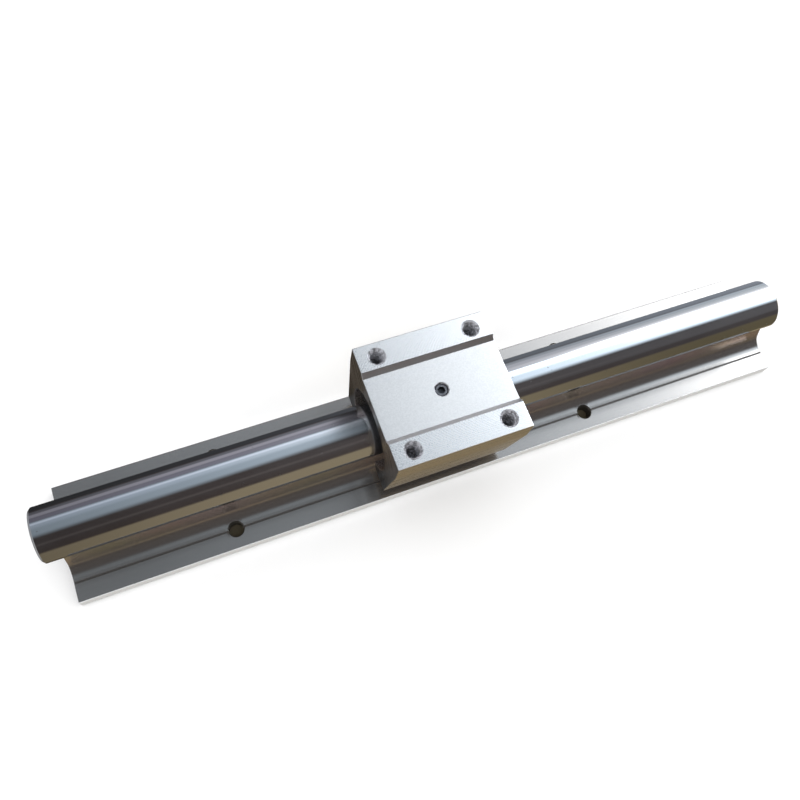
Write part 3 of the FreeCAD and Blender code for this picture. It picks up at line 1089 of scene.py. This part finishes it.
def plate(name: str, low: Sequence[float], high: Sequence[float], depth: float,
          material: bpy.types.Material) -> bpy.types.Object:
    """A flat plate that faces up, between two corners in metres, at a depth in millimetres below the base."""
    mesh = bpy.data.meshes.new(name)
    corners = [(low[0], low[1]), (high[0], low[1]), (high[0], high[1]), (low[0], high[1])]
    mesh.from_pydata([(x, y, -depth * MM) for x, y in corners], [], [[0, 1, 2, 3]])
    mesh.materials.append(material)
    return put(name, mesh)


@dataclass(frozen=True)
class Panel:
    """A soft-edged band of light or shade round the rail, with a tone for each end of the room.

    Its edges are angles in degrees from straight up, positive towards +Y. Each fades over twice its softness.
    """

    low: float
    high: float
    low_soft: float
    high_soft: float
    left: Colour
    right: Colour


@dataclass(frozen=True)
class Patch:
    """A soft-edged patch of the room: a dark post or a bright window.

    It lies between two values of a ray's x and between two angles, in degrees from straight up.
    """

    x_low: float
    x_high: float
    x_soft: float
    low: float
    high: float
    soft: float
    tone: Colour


@dataclass(frozen=True)
class Room:
    """What the metal mirrors: panels round the rail's axis, each laid over the ones before it.

    The tone goes from left to right as a ray's x runs over the crossing. The whole room grows brighter to the
    right, by the exponential of growth times x, with x held within its reach. Far to the left, out of the
    photograph's sight, a pale haze softens the panels.
    """

    below: Panel = Panel(-180, 180, 0, 0, (0.1, 0.08, 0.045), (0.08, 0.065, 0.04))
    panels: tuple[Panel, ...] = (
        Panel(-152, 158, 10, 10, (0.055, 0.042, 0.038), (0.015, 0.013, 0.013)),
        Panel(-165, -91, 10, 6, (0.28, 0.23, 0.15), (0.03, 0.025, 0.015)),
        Panel(-66, -28, 6, 6, (0.055, 0.044, 0.042), (0.025, 0.024, 0.025)),
        Panel(-57, -48, 3, 3, (0.09, 0.075, 0.07), (0.025, 0.024, 0.025)),
        Panel(97, 152, 5, 8, (0.04, 0.04, 0.043), (0.064, 0.07, 0.08)),
        Panel(77, 92, 3, 6, (0.15, 0.15, 0.17), (0.13, 0.145, 0.16)),
        Panel(59, 77, 4, 3, (0.36, 0.35, 0.4), (0.15, 0.16, 0.17)),
        Panel(42, 60, 3, 6, (0.21, 0.205, 0.255), (0.29, 0.295, 0.305)),
        Panel(-17, 41, 11, 4, (0.35, 0.42, 0.48), (0.4, 0.465, 0.525)),
        Panel(16, 39, 9, 3, (0.45, 0.53, 0.62), (0.96, 1.02, 1.08)),
        Panel(29, 36, 3, 3, (0.75, 0.84, 0.98), (0.95, 0.95, 0.97)),
    )
    patches: tuple[Patch, ...] = (
        Patch(0.15, 0.225, 0.01, -30, 100, 8, (0.004, 0.003, 0.003)),
        Patch(0.44, 2.0, 0.04, 23, 43, 8, (1.6, 1.68, 1.74)),
        Patch(0.52, 2.0, 0.04, 4, 43, 12, (1.3, 1.38, 1.44)),
    )
    crossing: Pair = (-0.12, 0.6)
    growth: float = 2.4
    reach: Pair = (-0.22, 0.85)
    haze_from: Pair = (-0.65, -0.3)
    haze_share: float = 0.65
    haze_tone: Colour = (0.85, 0.87, 0.9)
    pale: Colour = (1.25, 1.25, 1.25)
    floor_half: float = 3.0
    floor_depth: float = 0.05
    floor_tone: Colour = (0.97, 0.97, 0.97)
    # the bed is painted shade: a dark sheet under the base
    painted_shade_bed_share: float = 0.9
    painted_shade_bed_depth: float = 0.02

    def mask(self, graph: Graph, value: Signal, low: float, high: float, soft: Pair) -> Signal:
        """One between two values and nothing outside them, with soft edges."""
        rise = graph.spread(value, low - soft[0], low + soft[0], 0, 1)
        return rise * graph.spread(value, high - soft[1], high + soft[1], 1, 0)

    def mirrored_tone(self, graph: Graph, direction: Signal) -> Signal:
        """The room's tone in a direction."""
        x, y, z = graph.split(direction)
        degrees = y.apply("ARCTAN2", z) * math.degrees(1)
        side = graph.spread(x, *self.crossing, 0, 1)
        tone = graph.blend(side, self.below.left, self.below.right)
        for panel in self.panels:
            share = self.mask(graph, degrees, panel.low, panel.high, (panel.low_soft, panel.high_soft))
            tone = graph.blend(share, tone, graph.blend(side, panel.left, panel.right))
        for patch in self.patches:
            share = self.mask(graph, x, patch.x_low, patch.x_high, (patch.x_soft, patch.x_soft))
            share *= self.mask(graph, degrees, patch.low, patch.high, (patch.soft, patch.soft))
            tone = graph.blend(share, tone, patch.tone)
        haze = graph.spread(x, *self.haze_from, self.haze_share, 0)
        tone = graph.blend(haze, tone, self.haze_tone)
        held = x.apply("MAXIMUM", self.reach[0]).apply("MINIMUM", self.reach[1])
        gain = (held * self.growth).apply("EXPONENT")
        return graph.add("ShaderNodeVectorMath", {"operation": "SCALE"}, {0: tone, "Scale": gain})

    def build_world(self) -> None:
        """The world: the panels for mirrored rays, and plain pale light for the camera and matt surfaces."""
        world = bpy.data.worlds.new("room")
        bpy.context.scene.world = world
        graph = Graph.of(world)
        mirrored_tone = self.mirrored_tone(graph, graph.add("ShaderNodeTexCoord", output="Generated"))
        glossy = graph.add("ShaderNodeLightPath", output="Is Glossy Ray")
        tone = graph.blend(glossy, self.pale, mirrored_tone)
        light = graph.add("ShaderNodeBackground", {}, {"Color": tone, "Strength": 1.0})
        graph.node("ShaderNodeOutputWorld", {}, {"Surface": light})

    def build_floor(self) -> None:
        """A pale floor that mirrored rays pass by."""
        paper = bpy.data.materials.new("pale_paper")
        graph = Graph.of(paper)
        surface = graph.add("ShaderNodeBsdfDiffuse", {}, {"Color": (*self.floor_tone, 1.0)})
        graph.node("ShaderNodeOutputMaterial", {}, {"Surface": surface})
        half = self.floor_half
        floor = plate("floor", (-half, -half), (half, half), self.floor_depth, paper)
        floor.visible_glossy = False

    def build_painted_shade_bed(self) -> None:
        """A dark bed under the base, seen only through its holes: painted shade on the floor below them."""
        low, high = node_box("support_base") * MM * self.painted_shade_bed_share
        finish = Grained("painted_shade_bed_finish", (0.12, 0.1, 0.06), 0.8, 0.0)
        painted_shade_bed = plate("painted_shade_bed", low, high, self.painted_shade_bed_depth, finish.material())

    def build(self) -> None:
        """World, floor, dark bed of painted shade and view transform."""
        self.build_world()
        self.build_floor()
        self.build_painted_shade_bed()
        bpy.context.scene.view_settings.view_transform = "Standard"


def main() -> None:
    """Builds the rail, the carriage and the studio, in that order."""
    logging.basicConfig(level=logging.INFO, format="%(name)s: %(message)s")
    SupportRail().build()
    Shaft().build()
    for node in SHAFT_SCREWS:
        ShaftScrew(node).build()
    BearingBlock().build()
    SetScrew().build()
    Bushing().dress()
    Viewpoint().build()
    Room().build()


if __name__ == "__main__":
    main()
